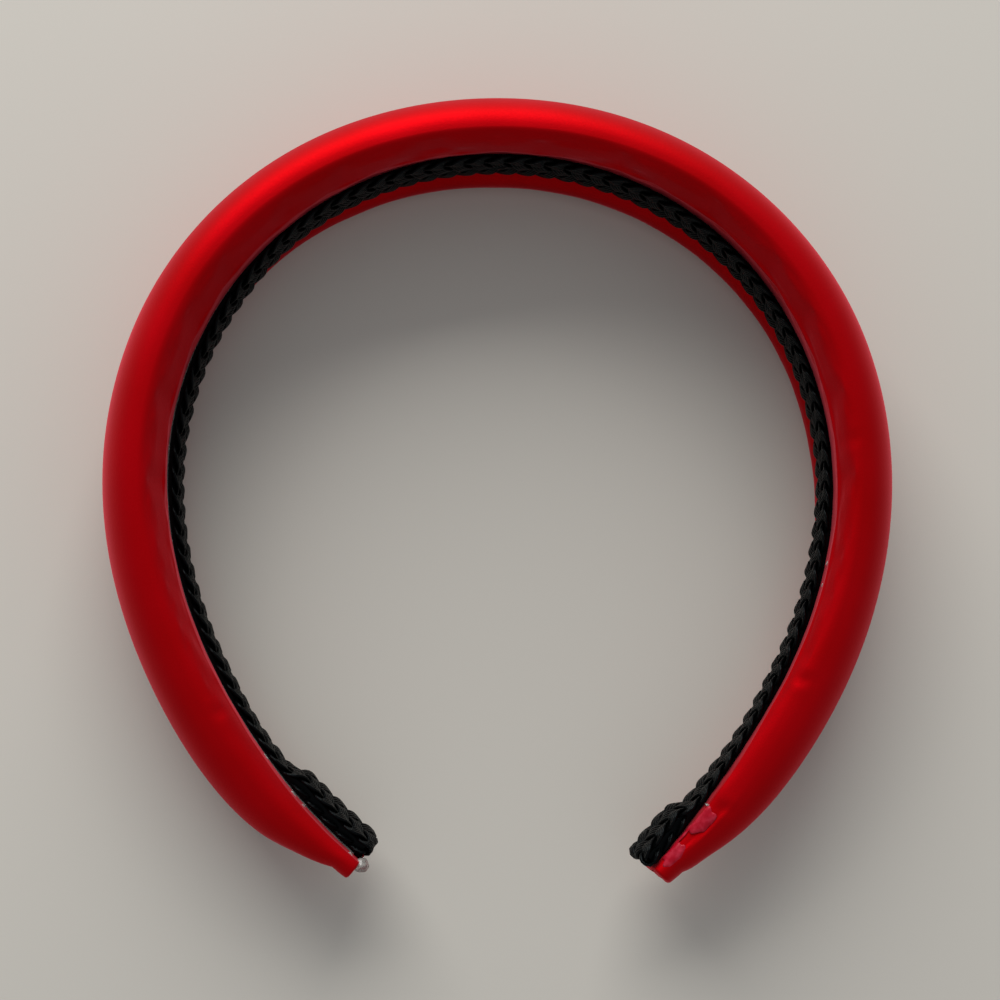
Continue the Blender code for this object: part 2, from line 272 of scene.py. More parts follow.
def solid_strip(name, stations, outline, material, lowest=0.0):
    """A closed loft along the band. outline(s) gives the (u, v) points of one section."""
    rows = [place(s, *np.array(outline(s)).T, lowest) for s in stations]
    points = np.array(rows)
    count = points.shape[1]
    faces = grid_faces(len(stations), count, wrap=True)
    faces.append(tuple(range(count))[::-1])
    faces.append(tuple((len(stations) - 1) * count + j for j in range(count)))
    mesh = mesh_from(name, points, faces)
    mesh.set_sharp_from_angle(angle=math.radians(40))
    return new_object(name, mesh, material)


def half_stations(side, end, step):
    """Stations of one half, in the order that s grows."""
    count = int(math.ceil(end / step))
    stations = np.linspace(0, end, count + 1)
    return stations if side > 0 else -stations[::-1]


# ---------------------------------------------------------------- satin cover

BED_POINTS = 4
WALL_POINTS = 7
ROLL_POINTS = 22
DOME_POINTS = 22
COVER_STEP = 1.0 * MM
LOWER_RISE_AT = np.array([-80, -50, -30, 0, 60, 95, 120]) * MM
LOWER_RISE = (0.0, 0.6, 1.2, 1.45, 1.35, 1.0, 0.1)
UPPER_RISE_CROWN = 0.7
UPPER_RISE_ARM = 0.15
CREST_CROWN = 0.35
CREST_ARM = 0.45
CREST_REACH = 0.55
SIDE_REACH = 0.5
ROLL_SPACING = 1.3
EDGE_ANGLE_CROWN = math.radians(8)
EDGE_ANGLE_ARM = math.radians(36)
END_ROUNDING = 0.45 * MM
CAP_SHARES = (0.75, 0.5, 0.25, 0.04)
CAP_CENTRE_U = 0.8 * MM
CREST_RIDGE = 0.25 * MM
RIDGE_WIDTH = 0.3 * MM
RIDGE_END = 150 * MM
RIDGE_FADE = 12 * MM

# Swellings (and one waist) of the ends: place along the band, half length, height
FLARES_LEFT = ((-188 * MM, 3 * MM, 0.25 * MM), (-179 * MM, 4.5 * MM, -0.5 * MM))
FLARES_RIGHT = ((185.5 * MM, 3.5 * MM, 0.9 * MM),)


def crease_height(s, above):
    """Distance from the band's middle to the crease beside the braid, above or below it."""
    drop = float(braid_drop(s))
    beside_braid = BRAID_WIDTH / 2 + BED_MARGIN - (drop if above else -drop)
    return min(beside_braid, float(band_width(s)) / 2 - CREASE_TO_EDGE)


def roll_rise(s):
    """How far the CAD's inner rolls stand proud of the bed."""
    room = band_width(s) / 2 - BRAID_WIDTH / 2 - BED_MARGIN - abs(braid_drop(s))
    room_share = smooth((room - ROLL_ROOM_NONE) / (ROLL_ROOM_FULL - ROLL_ROOM_NONE))
    return float((ROLL_CROWN + (ROLL_ARM - ROLL_CROWN) * smooth(abs(s) / ARM_SHAPE_AT)) * room_share)


def nose_flare(s):
    """The left end is drawn in before its tip and spreads again; the right one only spreads."""
    flares = FLARES_RIGHT if s > 0 else FLARES_LEFT
    return sum(height * math.exp(-((s - at) / half_length) ** 2) for at, half_length, height in flares)


def half_outline(s, above, inset=0.0):
    """(u, v) from the raw edge, over the inner roll, to the outermost point. v counts from the middle.

    On the arms the upper roll starts at a sharp fold; at the crown and below it swells softly.
    """
    arm_share = float(smooth(abs(s) / ARM_SECTION_AT))
    half_width = float(band_width(s)) / 2 - inset
    cad_rise = roll_rise(s)
    thickness = float(pad_thickness(s)) + cad_rise - 2 * inset
    widest_share = WIDEST_AT_CROWN + (WIDEST_AT - WIDEST_AT_CROWN) * arm_share
    dome_power = DOME_POWER_CROWN + (DOME_POWER - DOME_POWER_CROWN) * arm_share
    widest_u = inset - cad_rise + widest_share * thickness
    crease = crease_height(s, above)
    rise = cad_rise * float(np.interp(s, LOWER_RISE_AT, LOWER_RISE))
    crest_share = CREST_CROWN
    edge_angle = EDGE_ANGLE_CROWN
    if above:
        rise = cad_rise * (UPPER_RISE_CROWN + (UPPER_RISE_ARM - UPPER_RISE_CROWN) * arm_share)
        crest_share += (CREST_ARM - CREST_CROWN) * arm_share
        edge_angle += (EDGE_ANGLE_ARM - EDGE_ANGLE_CROWN) * arm_share
    crest = crease + crest_share * (half_width - crease)

    bed_v = np.linspace(HEM_EDGE, crease, BED_POINTS)
    wall_t = np.linspace(0, 1, WALL_POINTS + 1)[1:]
    wall_u = -rise * np.sin(wall_t * math.pi / 2)
    wall_v = crease + (crest - crease) * wall_t

    t = np.linspace(0, 1, ROLL_POINTS + 1)[1:] ** ROLL_SPACING
    crest_reach = CREST_REACH * (half_width - crest)
    side_reach = SIDE_REACH * (widest_u - inset + rise)
    start = np.array([-rise, crest])
    handle_1 = start + crest_reach * np.array([math.sin(edge_angle), math.cos(edge_angle)])
    end = np.array([widest_u - inset, half_width])
    handle_2 = end - np.array([side_reach, 0])
    roll = ((1 - t) ** 3)[:, None] * start + (3 * (1 - t) ** 2 * t)[:, None] * handle_1
    roll = roll + (3 * (1 - t) * t ** 2)[:, None] * handle_2 + (t ** 3)[:, None] * end

    angle = np.linspace(math.pi / 2, 0, DOME_POINTS + 1)[1:]
    dome_u = widest_u - inset + (1 - widest_share) * thickness * np.cos(angle) ** (2 / dome_power)
    dome_v = half_width * np.maximum(np.sin(angle), 0) ** (2 / dome_power)
    dome_u = dome_u + nose_flare(s) * np.cos(angle)
    u = np.concatenate([np.zeros(BED_POINTS), wall_u, roll[:, 0], dome_u]) + inset
    v = np.concatenate([bed_v, wall_v, roll[:, 1], dome_v])
    if above and s > 0 and inset == 0:
        ridge = CREST_RIDGE * arm_share * float(1 - smooth((s - RIDGE_END) / RIDGE_FADE))
        u = u - ridge * np.exp(-((v - crest) / RIDGE_WIDTH) ** 2) * (u < widest_u)
    return u, v


def cover_outline(s):
    """The whole section, from the lower raw edge round the outside to the upper one."""
    low_u, low_v = half_outline(s, above=False)
    high_u, high_v = half_outline(s, above=True)
    return np.concatenate([low_u, high_u[-2::-1]]), np.concatenate([-low_v, high_v[-2::-1]])


SWELL_HEIGHT = 0.20 * MM
EDGE_HEIGHT = 0.10 * MM
EDGE_ZONE = 4 * MM
GATHER_HEIGHT = 0.30 * MM
GATHER_START = 165 * MM

# Puckers where the cover was pulled while it was glued: place along the band, size
PUCKERS = ((143 * MM, 0.30 * MM), (-150 * MM, 0.2 * MM), (96 * MM, 0.15 * MM), (172 * MM, 0.3 * MM))
PUCKER_HALF_LENGTH = 1.3 * MM
PUCKER_DEEPEST_U = 2.4 * MM
PUCKER_FADE = 1.5 * MM
PUCKER_END_U = 6 * MM


def ripple(s, u, v):
    """Small unevenness of the stuffed cover: slow swells, waves by the glued edges, gathers at the tips."""
    swell = noise.noise(Vector((s * 26, u * 50, v * 50)))
    wave = noise.noise(Vector((s * 170, v * 60, 3.7)))
    gather = noise.noise(Vector((s * 60, v * 420, 9.1)))
    near_edge = max(0.0, 1 - abs(u) / EDGE_ZONE)
    near_tip = max(0.0, (abs(s) - GATHER_START) / (COVER_END - GATHER_START))
    height = SWELL_HEIGHT * swell + EDGE_HEIGHT * wave * near_edge + GATHER_HEIGHT * gather * near_tip
    if v > 0 and u < PUCKER_END_U:
        fade = math.exp(-((u - PUCKER_DEEPEST_U) / PUCKER_FADE) ** 2)
        for at, depth in PUCKERS:
            across = (s - at) / PUCKER_HALF_LENGTH
            height -= depth * fade * (1 - across ** 2) * math.exp(-across ** 2 / 1.5)
    return height


def cover_rows(stations):
    """Places of the outer surface, one row for each station. The last rows close the ends."""
    rows = []
    for s in stations:
        u, v = cover_outline(s)
        to_end = COVER_END - abs(s)
        if to_end < END_ROUNDING:
            inset = END_ROUNDING - math.sqrt(max(END_ROUNDING ** 2 - (END_ROUNDING - to_end) ** 2, 0))
            share = 1 - inset / (NOSE_THICKNESS / 2)
            middle_u = NOSE_THICKNESS / 2
            u, v = middle_u + (u - middle_u) * share, v * (1 - inset / (TIP_WIDTH / 2))
        rows.append((s, u, v))
    return rows


def cap_rows(row):
    """Rows that draw one end together to a point, close to the bed."""
    s, u, v = row
    return [(s, CAP_CENTRE_U + (u - CAP_CENTRE_U) * share, v * share) for share in CAP_SHARES]


def outward_normals(points):
    """Normals of a grid of points (rows along the band, columns around the section)."""
    along = np.gradient(points, axis=0)
    around = np.gradient(points, axis=1)
    normals = np.cross(around, along)
    return normals / np.maximum(np.linalg.norm(normals, axis=2, keepdims=True), 1e-12)


STRETCH_ROWS_APART = 4
STRETCH_COLUMNS_APART = 3
STRETCH_FRAMES = 14
STRETCH_LIMIT = 0.35 * MM
SATIN_CLOTH = {
    "quality": 6,
    "mass": 0.004,
    "tension_stiffness": 20,
    "compression_stiffness": 20,
    "shear_stiffness": 8,
    "bending_stiffness": 0.5,
    "use_pressure": True,
    "uniform_pressure_force": 40,
}


def thinned(count, apart):
    """Every so many indices, always with the last one."""
    return np.unique(np.append(np.arange(0, count, apart), count - 1))


def cloth_movement(rest):
    """Simulates a grid of points as satin, held along its border and pressed outward from inside."""
    rows, columns = rest.shape[:2]
    mesh = mesh_from("stretching", rest, grid_faces(rows, columns, wrap=False))
    skin = bpy.data.objects.new("stretching", mesh)
    bpy.context.scene.collection.objects.link(skin)
    index = np.arange(rows * columns).reshape(rows, columns)
    border = (index[:2], index[-2:], index[:, :2], index[:, -2:])
    glued = skin.vertex_groups.new(name="glued")
    glued.add(np.unique(np.concatenate([part.ravel() for part in border])).tolist(), 1.0, "REPLACE")

    cloth = skin.modifiers.new("cloth", "CLOTH")
    for setting, value in SATIN_CLOTH.items():
        setattr(cloth.settings, setting, value)
    cloth.settings.vertex_group_mass = glued.name
    cloth.settings.effector_weights.gravity = 0
    cloth.collision_settings.use_collision = False
    scene = bpy.context.scene
    for frame_number in range(1, STRETCH_FRAMES + 1):
        scene.frame_set(frame_number)
    result = skin.evaluated_get(bpy.context.evaluated_depsgraph_get())
    flat = np.empty(rest.size)
    result.data.vertices.foreach_get("co", flat)
    bpy.data.objects.remove(skin)
    scene.frame_set(1)
    return flat.reshape(rest.shape) - rest


def stretch_over_pad(points):
    """The skin after a cloth simulation on a coarse grid, limited and spread over the fine grid."""
    rows = thinned(points.shape[0], STRETCH_ROWS_APART)
    columns = thinned(points.shape[1], STRETCH_COLUMNS_APART)
    moved = cloth_movement(points[np.ix_(rows, columns)])
    size = np.linalg.norm(moved, axis=2, keepdims=True)
    moved *= np.minimum(1, STRETCH_LIMIT / np.maximum(size, 1e-12))
    all_rows, all_columns = np.arange(points.shape[0]), np.arange(points.shape[1])
    spread = np.empty(points.shape)
    for axis in range(3):
        by_row = np.array([np.interp(all_columns, columns, line) for line in moved[:, :, axis]])
        spread[:, :, axis] = np.array([np.interp(all_rows, rows, line) for line in by_row.T]).T
    return points + spread


def make_cover(material):
    """Both halves of the satin skin, cut from one grid so that they match at the crown's centre."""
    distances = list(half_stations(1, COVER_END - END_ROUNDING, COVER_STEP))
    distances += [COVER_END - END_ROUNDING * (1 - math.sin(a)) for a in np.radians([30, 60, 90])]
    right = np.array(distances)
    rows = cover_rows(np.concatenate([-right[:0:-1], right]))
    rows = cap_rows(rows[0])[::-1] + rows + cap_rows(rows[-1])
    stations = np.array([row[0] for row in rows])
    points = np.array([place(s, u, v) for s, u, v in rows])
    points = stretch_over_pad(points)
    normals = outward_normals(points)
    uneven = np.array([[ripple(s, a, b) for a, b in zip(u, v)] for s, u, v in rows])
    points = points + normals * uneven[..., None]
    points[..., 2] = np.maximum(points[..., 2], 0.0)
    normals = outward_normals(points)
    inner = points - normals * SATIN
    steps = np.linalg.norm(np.diff(points, axis=1), axis=2)
    across = np.concatenate([np.zeros((len(rows), 1)), np.cumsum(steps, axis=1)], axis=1)
    middle = len(rows) // 2
    halves = []
    for side, label in ((-1, "left"), (1, "right")):
        part = slice(0, middle + 1) if side < 0 else slice(middle, None)
        halves.append(cover_half(f"satin_{label}", points[part], inner[part], normals[part],
                                 stations[part], across[part], material))
    return halves


def cover_half(name, outer, inner, normals, stations, across, material):
    """One half of the skin: its outer face, its inner face and the rim between them."""
    rows, columns = outer.shape[:2]
    count = rows * columns
    faces = grid_faces(rows, columns, wrap=False)
    inside = [tuple(count + i for i in face[::-1]) for face in faces]
    border = ([i * columns for i in range(rows)] + [(rows - 1) * columns + j for j in range(1, columns)]
              + [i * columns + columns - 1 for i in range(rows - 2, -1, -1)]
              + list(range(columns - 2, 0, -1)))
    rim = [(count + a, count + b, b, a) for a, b in zip(border, border[1:] + border[:1])]
    both = np.concatenate([outer.reshape(-1, 3), inner.reshape(-1, 3)])
    mesh = mesh_from(name, both, faces + inside + rim)
    along = np.repeat(stations, columns)
    coordinates = np.stack([along, across.ravel()], axis=1)
    set_uv(mesh, np.concatenate([coordinates, coordinates]))
    custom = np.concatenate([normals.reshape(-1, 3), -normals.reshape(-1, 3)])
    mesh.normals_split_custom_set_from_vertices(custom.tolist())
    return new_object(name, mesh, material)


# ---------------------------------------------------------------- core, pad and glue bed

def core_width(s):
    share = (float(band_width(s)) - TIP_WIDTH) / (CROWN_WIDTH - TIP_WIDTH)
    to_end = min((CORE_END - abs(s)) / (CORE_TIP_WIDTH / 2), 1)
    rounding = math.sqrt(max(1 - (1 - to_end) ** 2, 0))
    return (CORE_TIP_WIDTH + (CORE_CROWN_WIDTH - CORE_TIP_WIDTH) * share) * max(rounding, CORE_LEAST_ROUNDING)


def core_outline(s):
    half = core_width(s) / 2
    cut = CORE_BEVEL * 0.3
    inner_u, outer_u = CORE_INNER_FACE, CORE_INNER_FACE + CORE_THICKNESS
    upper = [(outer_u, half - CORE_BEVEL), (outer_u - cut, half - cut), (outer_u - CORE_BEVEL, half),
             (inner_u + CORE_BEVEL, half), (inner_u + cut, half - cut), (inner_u, half - CORE_BEVEL)]
    return [(u, -v) for u, v in upper[::-1]] + upper


def foam_outline(s):
    """The pad fills the cover, with a channel for the core on its inner side."""
    channel_v = core_width(s) / 2 + LAYER_GAP
    bottom_u = CORE_INNER_FACE + CORE_THICKNESS + LAYER_GAP
    inset = SATIN + LAYER_GAP
    outline = []
    for above in (False, True):
        side = 1 if above else -1
        u, v = half_outline(s, above, inset)
        start = BED_POINTS + WALL_POINTS - 1
        picks = np.linspace(start, len(u) - 1, FOAM_RIM_POINTS)
        rim_u = np.interp(picks, range(len(u)), u)
        rim_v = np.interp(picks, range(len(v)), v)
        edge_v = max(crease_height(s, above), channel_v + LAYER_GAP / 2)
        half = [(bottom_u, side * channel_v), (inset + 2 * FOAM_EDGE_LIFT, side * channel_v),
                (inset + FOAM_EDGE_LIFT, side * edge_v)]
        half += [(a, side * b) for a, b in zip(rim_u, rim_v)]
        outline += half[:-1] if side < 0 else half[::-1]
    return outline


def glue_outline(s):
    """The glue bed has one section all along: it fills the gap between the braid and the core."""
    outer_u = CORE_INNER_FACE - LAYER_GAP
    return [(outer_u, GLUE_HALF_WIDTH), (outer_u, -GLUE_HALF_WIDTH), (-BED_SINK, -GLUE_HALF_WIDTH),
            (-BED_SINK, GLUE_HALF_WIDTH)]


# ---------------------------------------------------------------- braid

STRAND_PERIOD = STRANDS * EDGE_SCALLOP
STRAND_REACH = BRAID_WIDTH / 2 - CORDS_PER_STRAND * CORD_RADIUS


def braid_swell(s):
    """How much thicker than usual the lining is. It is pulled less along the arms."""
    start = np.where(np.asarray(s) > 0, SWELL_START_RIGHT, SWELL_START_LEFT)
    rising = smooth((np.abs(s) - start) / SWELL_RAMP)
    falling = smooth((np.abs(s) - SWELL_END) / SWELL_RAMP)
    return 1 + BRAID_SWELL * rising * (1 - falling)


def fold_start(side):
    """Where the folded end of the braid begins, as a distance from the crown's centre."""
    return FOLD_START_RIGHT if side > 0 else FOLD_START_LEFT


def fold_lift(side, distance):
    """How far the braid's outer layer is lifted by the folded end under it."""
    return BRAID_LAYER * smooth((distance - fold_start(side)) / FOLD_RAMP + 1)


def ribbon_line(side):
    """The braid's middle line in (s, u), out to the tip, round its end and back under itself."""
    out = np.arange(RIBBON_START, BRAID_END, RIBBON_STEP)
    layer_u = -BRAID_LAYER / 2
    top = np.stack([out, layer_u * braid_swell(side * out) - fold_lift(side, out)], axis=1)
    turn = np.linspace(-math.pi / 2, math.pi / 2, 16)[1:-1]
    radius = BRAID_LAYER / 2
    middle_u = layer_u - radius
    bend = np.stack([BRAID_END + radius * np.cos(turn), middle_u + radius * np.sin(turn)], axis=1)
    back = np.arange(BRAID_END, fold_start(side) - FOLD_UNDER * FOLD_RAMP, -RIBBON_STEP)
    under = np.stack([back, np.full(len(back), layer_u)], axis=1)
    line = np.concatenate([top, bend, under])
    length = np.concatenate([[0], np.cumsum(np.linalg.norm(np.diff(line, axis=0), axis=1))])
    return length + RIBBON_START, line


def ribbon_points(side, length, across, lift):
    """World points of a place on the braid: its distance along, across and off the middle line."""
    table, line = ribbon_line(side)
    step = 0.1 * MM
    s = np.interp(length, table, line[:, 0])
    u = np.interp(length, table, line[:, 1])
    ds = np.interp(length + step, table, line[:, 0]) - np.interp(length - step, table, line[:, 0])
    du = np.interp(length + step, table, line[:, 1]) - np.interp(length - step, table, line[:, 1])
    size = np.maximum(np.hypot(ds, du), 1e-12)
    s_out = s + lift * du / size
    u_out = u - lift * ds / size
    v = across - braid_drop(side * np.abs(s))
    return place(side * s_out, u_out, v)


def rounded_zigzag(phase):
    """A triangle wave from -1 to 1 with rounded turns."""
    return np.arcsin(ZIGZAG_SHARPNESS * np.sin(phase)) / math.asin(ZIGZAG_SHARPNESS)


def cord_paths(side):
    """Middle lines of every cord of one half, with the direction that faces off the braid."""
    total = ribbon_line(side)[0][-1] - CORD_STEP
    along = np.arange(-2, int(total / CORD_STEP) + 1) * CORD_STEP
    paths = []
    for strand in range(STRANDS):
        signed = side * along
        phase = 2 * math.pi * (signed - strand * EDGE_SCALLOP) / STRAND_PERIOD
        across = STRAND_REACH * rounded_zigzag(phase + math.pi / 2)
        lift = -STRAND_LIFT * braid_swell(signed) * np.sin(3 * phase)
        slope = np.gradient(across, signed)
        size = np.sqrt(1 + slope ** 2)
        for cord in range(CORDS_PER_STRAND):
            offset = (cord - (CORDS_PER_STRAND - 1) / 2) * 2 * CORD_RADIUS
            moved_along = along - side * slope / size * offset
            moved_across = across + offset / size
            middle = ribbon_points(side, moved_along, moved_across, lift)
            facing = ribbon_points(side, moved_along, moved_across, lift + 0.2 * MM) - middle
            paths.append((middle, facing))
    return paths


def tube(middle, facing, radius, sides):
    """Rings of points round a line, one row for each point of the line but the first and last."""
    tangent = middle[2:] - middle[:-2]
    tangent /= np.linalg.norm(tangent, axis=1, keepdims=True)
    across = np.cross(tangent, facing[1:-1])
    across /= np.linalg.norm(across, axis=1, keepdims=True)
    up = np.cross(across, tangent)
    angle = np.linspace(0, 2 * math.pi, sides, endpoint=False)
    ring = across[:, None, :] * np.cos(angle)[None, :, None]
    ring = ring + up[:, None, :] * np.sin(angle)[None, :, None]
    return middle[1:-1][:, None, :] + ring * radius


def tube_faces(rows, sides, first):
    """Faces of a closed tube whose points start at index first."""
    faces = [tuple(first + i for i in face) for face in grid_faces(rows, sides, wrap=True)]
    faces.append(tuple(first + j for j in range(sides))[::-1])
    faces.append(tuple(first + (rows - 1) * sides + j for j in range(sides)))
    return faces


def make_braid(side, label, material):
    """The lining of one half: strands of cords that pass over and under each other."""
    points, faces, coordinates = [], [], []
    first = 0
    for middle, facing in cord_paths(side):
        rings = tube(middle, facing, CORD_RADIUS, CORD_SIDES)
        rows = len(rings)
        faces += tube_faces(rows, CORD_SIDES, first)
        first += rows * CORD_SIDES
        points.append(rings.reshape(-1, 3))
        steps = np.linalg.norm(np.diff(middle[1:-1], axis=0), axis=1)
        distance = np.concatenate([[0], np.cumsum(steps)])
        around = np.arange(CORD_SIDES) / CORD_SIDES
        pairs = np.stack(np.broadcast_arrays(distance[:, None], around[None, :]), axis=-1)
        coordinates.append(pairs.reshape(-1, 2))
    mesh = mesh_from(f"braid_lining_{label}", np.concatenate(points), faces)
    set_uv(mesh, np.concatenate(coordinates))
    return new_object(f"braid_lining_{label}", mesh, material)


def web_outline(s):
    """The flat web inside the braid, from the bed to the middle of its outer layer."""
    face = WEB_BELOW_CORDS - BRAID_LAYER / 2 * float(braid_swell(s)) - float(fold_lift(s, abs(s)))
    middle = -float(braid_drop(s))
    edge = middle + WEB_HALF_WIDTH
    upper = [(face, edge - WEB_CORNER), (face + WEB_CORNER, edge), (-BED_SINK, edge)]
    lower = [(u, 2 * middle - v) for u, v in upper]
    return upper + lower[::-1]


# ---------------------------------------------------------------- dried glue

PATCH_RINGS = 9
PATCH_SIDES = 36
PATCH_SINK = 0.10 * MM
PATCH_LAST_S = 188.8 * MM
PATCH_WOBBLE = 0.4
BEAD_SPREAD = np.array([1.35, 1.1, 1.0])
BEAD_SHIFT = np.array([-0.2, 0.8, 0.0]) * MM

# Films smeared on the satin and specks beside the braid, in mm: place along the band, distance
# across the cover from the crease, half length, half width, thickness
FILMS = ((176.3, 2.0, 3.2, 1.9, 0.16), (184.6, 2.2, 3.0, 1.7, 0.14), (180.5, 0.5, 4.0, 0.7, 0.10))
SPECKS = {
    "left": ((-187.0, -0.3, 0.5, 0.35, 0.35), (-174.0, -0.5, 0.6, 0.3, 0.30), (-171.0, -0.4, 0.9, 0.35, 0.30),
             (-162.0, -0.4, 0.8, 0.3, 0.25), (-7.5, -0.4, 0.5, 0.3, 0.25), (-4.0, -0.3, 0.7, 0.35, 0.30)),
    "right": ((173.2, 0.1, 0.30, 1.1, 0.45), (6.0, -0.4, 0.5, 0.3, 0.25), (10.5, -0.3, 0.8, 0.35, 0.30),
              (14.5, -0.4, 0.5, 0.3, 0.25), (119.5, -0.4, 0.6, 0.35, 0.30), (124.0, -0.4, 0.5, 0.3, 0.25)),
}


def cover_point(s, across):
    """A point of the upper half of the cover, across its section from the crease beside the braid."""
    u, v = half_outline(s, above=True)
    length = np.concatenate([[0], np.cumsum(np.hypot(np.diff(u), np.diff(v)))])
    length -= length[BED_POINTS - 1]
    at_u, at_v = np.interp(across, length, u), np.interp(across, length, v)
    return place(s, at_u, at_v), ripple(s, at_u, at_v)


def cover_surface(s, across):
    """The same point with the cover's unevenness, and the direction that faces off the cover."""
    step = 0.15 * MM
    point, uneven = cover_point(s, across)
    along = cover_point(s + step, across)[0] - cover_point(s - step, across)[0]
    around = cover_point(s, across + step)[0] - cover_point(s, across - step)[0]
    normal = np.cross(along, around)
    normal /= np.linalg.norm(normal)
    return point + normal * uneven, normal


def glue_patch(s, across, half_length, half_width, thickness):
    """Rings of one smear, from the middle of its top, over its rim, to the middle of its underside."""
    top, bottom = [], []
    for ring in range(PATCH_RINGS):
        share = (ring + 0.3) / (PATCH_RINGS - 0.7)
        top_ring, bottom_ring = [], []
        for k in range(PATCH_SIDES):
            angle = 2 * math.pi * k / PATCH_SIDES
            wobble = noise.noise(Vector((math.cos(angle) * 1.6, math.sin(angle) * 1.6, s * 900)))
            reach = share * (1 + PATCH_WOBBLE * wobble)
            at_s = s + half_length * reach * math.cos(angle)
            at_s = min(max(at_s, -PATCH_LAST_S), PATCH_LAST_S)
            point, normal = cover_surface(at_s, across + half_width * reach * math.sin(angle))
            lumps = 0.75 + 0.5 * noise.noise(Vector(point * 1100))
            height = thickness * lumps * (1 - share ** 3) - 0.8 * PATCH_SINK * share ** 4
            top_ring.append(point + normal * height)
            bottom_ring.append(point - normal * PATCH_SINK)
        top.append(top_ring)
        bottom.append(bottom_ring)
    return np.array(top + bottom[::-1])


def make_patches(name, patches, material):
    """One piece made of separate patches of glue."""
    points, faces = [], []
    for patch in patches:
        rings = glue_patch(*[value * MM for value in patch])
        faces += tube_faces(len(rings), PATCH_SIDES, len(points) * len(rings) * PATCH_SIDES)
        points.append(rings.reshape(-1, 3))
    return new_object(name, mesh_from(name, np.concatenate(points), faces), material)


def make_bead(node_name, name, material):
    """A drop of glue with a drawn-out side, at the place of its CAD node."""
    low, high = (np.array(corner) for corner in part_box(node_name))
    centre, half = (low + high) / 2 + BEAD_SHIFT, (high - low) / 2
    mesh = bpy.data.meshes.new(name)
    drop = bmesh.new()
    bmesh.ops.create_icosphere(drop, subdivisions=4, radius=1)
    for vertex in drop.verts:
        direction = vertex.co.copy()
        lumps = 1.0 + 0.25 * noise.noise(direction * 1.3) + 0.03 * noise.noise(direction * 4)
        vertex.co = Vector(centre + half * np.array(direction) * lumps * BEAD_SPREAD)
    drop.to_mesh(mesh)
    drop.free()
    mesh.shade_smooth()
    return new_object(name, mesh, material)


# ---------------------------------------------------------------- materials

def new_material(name):
    material = bpy.data.materials.new(name)
    material.use_nodes = True
    tree = material.node_tree
    return material, tree, tree.nodes["Principled BSDF"]


def node(tree, kind, **values):
    """A shader node with its properties and input values set by name."""
    made = tree.nodes.new(kind)
    for key, value in values.items():
        if key in made.inputs:
            made.inputs[key].default_value = value
        else:
            setattr(made, key, value)
    return made


def ramp(tree, stops):
    """A color ramp with a stop (position, color) at each place."""
    made = tree.nodes.new("ShaderNodeValToRGB")
    elements = made.color_ramp.elements
    elements[0].position, elements[0].color = stops[0]
    elements[1].position, elements[1].color = stops[-1]
    for position, color in stops[1:-1]:
        elements.new(position).color = color
    return made


def add_bump(tree, shader, height, strength, distance, before=None):
    """Adds a bump after the one before, and links it to the shader if one is given."""
    bump = node(tree, "ShaderNodeBump", Strength=strength, Distance=distance)
    tree.links.new(height, bump.inputs["Height"])
    if before is not None:
        tree.links.new(before, bump.inputs["Normal"])
    if shader is not None:
        tree.links.new(bump.outputs["Normal"], shader.inputs["Normal"])
    return bump.outputs["Normal"]


def vary_roughness(tree, shader, source, low, high):
    """The roughness follows source between low and high."""
    shine = node(tree, "ShaderNodeMapRange")
    shine.inputs["To Min"].default_value = low
    shine.inputs["To Max"].default_value = high
    tree.links.new(source, shine.inputs["Value"])
    tree.links.new(shine.outputs["Result"], shader.inputs["Roughness"])


def vary_color(tree, shader, source, *stops):
    """The base color follows source along a ramp of stops."""
    colors = ramp(tree, stops)
    tree.links.new(source, colors.inputs["Fac"])
    tree.links.new(colors.outputs["Color"], shader.inputs["Base Color"])


def object_noise(tree, scale, detail):
    """Noise fixed to the piece, as a socket."""
    coordinates = node(tree, "ShaderNodeTexCoord")
    made = node(tree, "ShaderNodeTexNoise", Scale=scale, Detail=detail)
    tree.links.new(coordinates.outputs["Object"], made.inputs["Vector"])
    return made.outputs["Fac"]


def along_across(tree, scale):
    """The piece's own coordinates along and across its cloth or cord, stretched, as a socket."""
    uv = node(tree, "ShaderNodeUVMap", uv_map="along_across")
    stretch = node(tree, "ShaderNodeMapping", Scale=scale)
    tree.links.new(uv.outputs["UV"], stretch.inputs["Vector"])
    return stretch.outputs["Vector"]


def satin_material():
    """Red satin: fine threads along the band, soft sheen, slight unevenness of tone."""
    material, tree, shader = new_material("satin")
    shader.inputs["Metallic"].default_value = 0.62
    shader.inputs["Specular Tint"].default_value = (1.0, 0.08, 0.12, 1)
    shader.inputs["Specular IOR Level"].default_value = 0.1
    shader.inputs["Sheen Weight"].default_value = 0.5
    shader.inputs["Sheen Roughness"].default_value = 0.45
    shader.inputs["Sheen Tint"].default_value = (1.0, 0.15, 0.20, 1)
    tone = object_noise(tree, 38.0, 3.0)
    vary_color(tree, shader, tone, (0.3, (0.38, 0.0, 0.001, 1)), (0.7, (0.45, 0.0, 0.003, 1)))
    threads = node(tree, "ShaderNodeTexNoise", Scale=1.0, Detail=2.0)
    tree.links.new(along_across(tree, (900.0, 6500.0, 1.0)), threads.inputs["Vector"])
    grain = object_noise(tree, 2600.0, 1.0)
    first = add_bump(tree, None, threads.outputs["Fac"], 0.25, 0.06 * MM)
    add_bump(tree, shader, grain, 0.25, 0.08 * MM, before=first)
    vary_roughness(tree, shader, grain, 0.46, 0.6)
    return material


